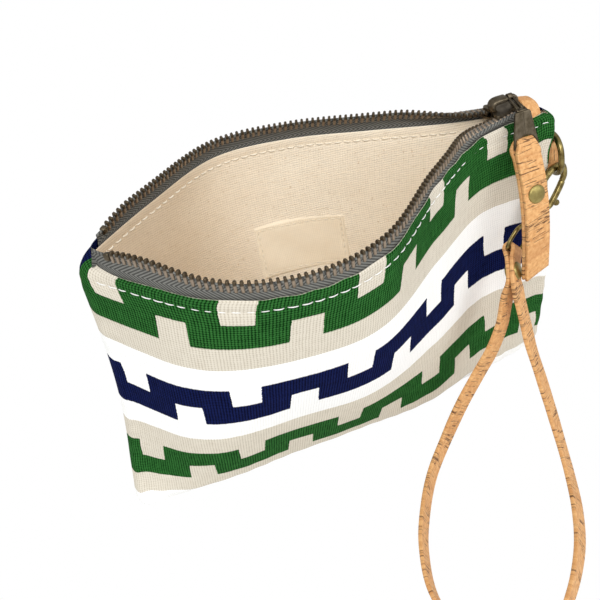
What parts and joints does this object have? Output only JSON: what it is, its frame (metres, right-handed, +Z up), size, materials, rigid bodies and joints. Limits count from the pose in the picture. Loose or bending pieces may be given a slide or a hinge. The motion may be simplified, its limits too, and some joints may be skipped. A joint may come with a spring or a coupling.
{
  "type": "wristlet",
  "caption": "Zipped canvas wristlet standing open on its bottom seam, with a metal zip, a cork pull strip and a cork wrist strap on a swivel trigger clasp hung from a seam ring.",
  "frame": {"origin": "middle of the whole piece in plan, on the table that the bottom seam and the strap rest on", "axes": "+X along the mouth from left to right, +Y from the printed front to the back, +Z up"},
  "size_m": [0.2403, 0.2042, 0.161],
  "materials": {
    "canvas_front": "woven canvas printed with bands of green on beige and navy on white",
    "canvas_back": "woven canvas with the same print as the front",
    "lining": "unbleached flecked canvas",
    "label": "blank woven label",
    "zip_tape": "grey herringbone tape with antique brass teeth",
    "antique_brass": "dark antique brass",
    "brass": "aged brass",
    "cork": "cork fabric with dark flecks"
  },
  "bodies": {
    "bag": {"front_panel": "canvas_front", "back_panel": "canvas_back", "front_lining": "lining", "back_lining": "lining", "label": "label", "front_stringer": "zip_tape", "back_stringer": "zip_tape", "top_stop_front": "antique_brass", "top_stop_back": "antique_brass", "zip_end_tab": "cork", "ring_tab": "cork"},
    "slider": {"slider_body": "antique_brass", "slider_bridge": "antique_brass"},
    "puller": {"puller": "antique_brass"},
    "strip": {"pull_strip": "cork", "pull_rivet_cap": "brass", "pull_rivet_back": "brass"},
    "ring": {"d_ring": "brass"},
    "clasp": {"clasp_hook": "brass", "gate_pin": "brass"},
    "gate": {"gate_lever": "brass"},
    "eye": {"swivel_eye": "brass"},
    "strap": {"wrist_strap": "cork", "strap_rivet_cap": "brass", "strap_rivet_back": "brass"}
  },
  "joints": [
    {"name": "zip_travel", "type": "slide", "parent": "bag", "child": "slider", "axis": [-1, 0, 0], "range_m": [0, 0.17], "deforming": ["front_panel", "back_panel", "front_lining", "back_lining", "front_stringer", "back_stringer"]},
    {"name": "puller_swing", "type": "hinge", "parent": "slider", "child": "puller", "pos_m": [0.08904, 0.05418, 0.1587], "axis": [-1, 0, 0], "range_deg": [0, 150]},
    {"name": "strip_swing", "type": "hinge", "parent": "puller", "child": "strip", "pos_m": [0.08904, 0.03826, 0.14206], "axis": [-1, 0, 0], "range_deg": [0, 70]},
    {"name": "ring_swing", "type": "hinge", "parent": "bag", "child": "ring", "pos_m": [0.11331, 0.04799, 0.1265], "axis": [-0.1002, 0, 0.995], "range_deg": [0, 110], "deforming": ["pull_strip"]},
    {"name": "clasp_hang", "type": "hinge", "parent": "ring", "child": "clasp", "pos_m": [0.1116, 0.04022, 0.11972], "axis": [-0.2935, -0.769, 0.5678], "range_deg": [0, 35]},
    {"name": "gate_press", "type": "hinge", "parent": "clasp", "child": "gate", "pos_m": [0.10214, 0.03605, 0.10479], "axis": [0.1629, -0.9722, 0.168], "range_deg": [0, 20], "stiffness_Nm_per_rad": 0.02, "springref_deg": -8.59},
    {"name": "eye_swivel", "type": "hinge", "parent": "clasp", "child": "eye", "pos_m": [0.09373, 0.03404, 0.10129], "axis": [0.6769, 0.234, 0.6979], "range_deg": [-15, 20]},
    {"name": "strap_swing", "type": "hinge", "parent": "eye", "child": "strap", "pos_m": [0.08371, 0.03058, 0.09097], "axis": [-0.6832, -0.1533, 0.714], "range_deg": [-15, 20]}
  ]
}
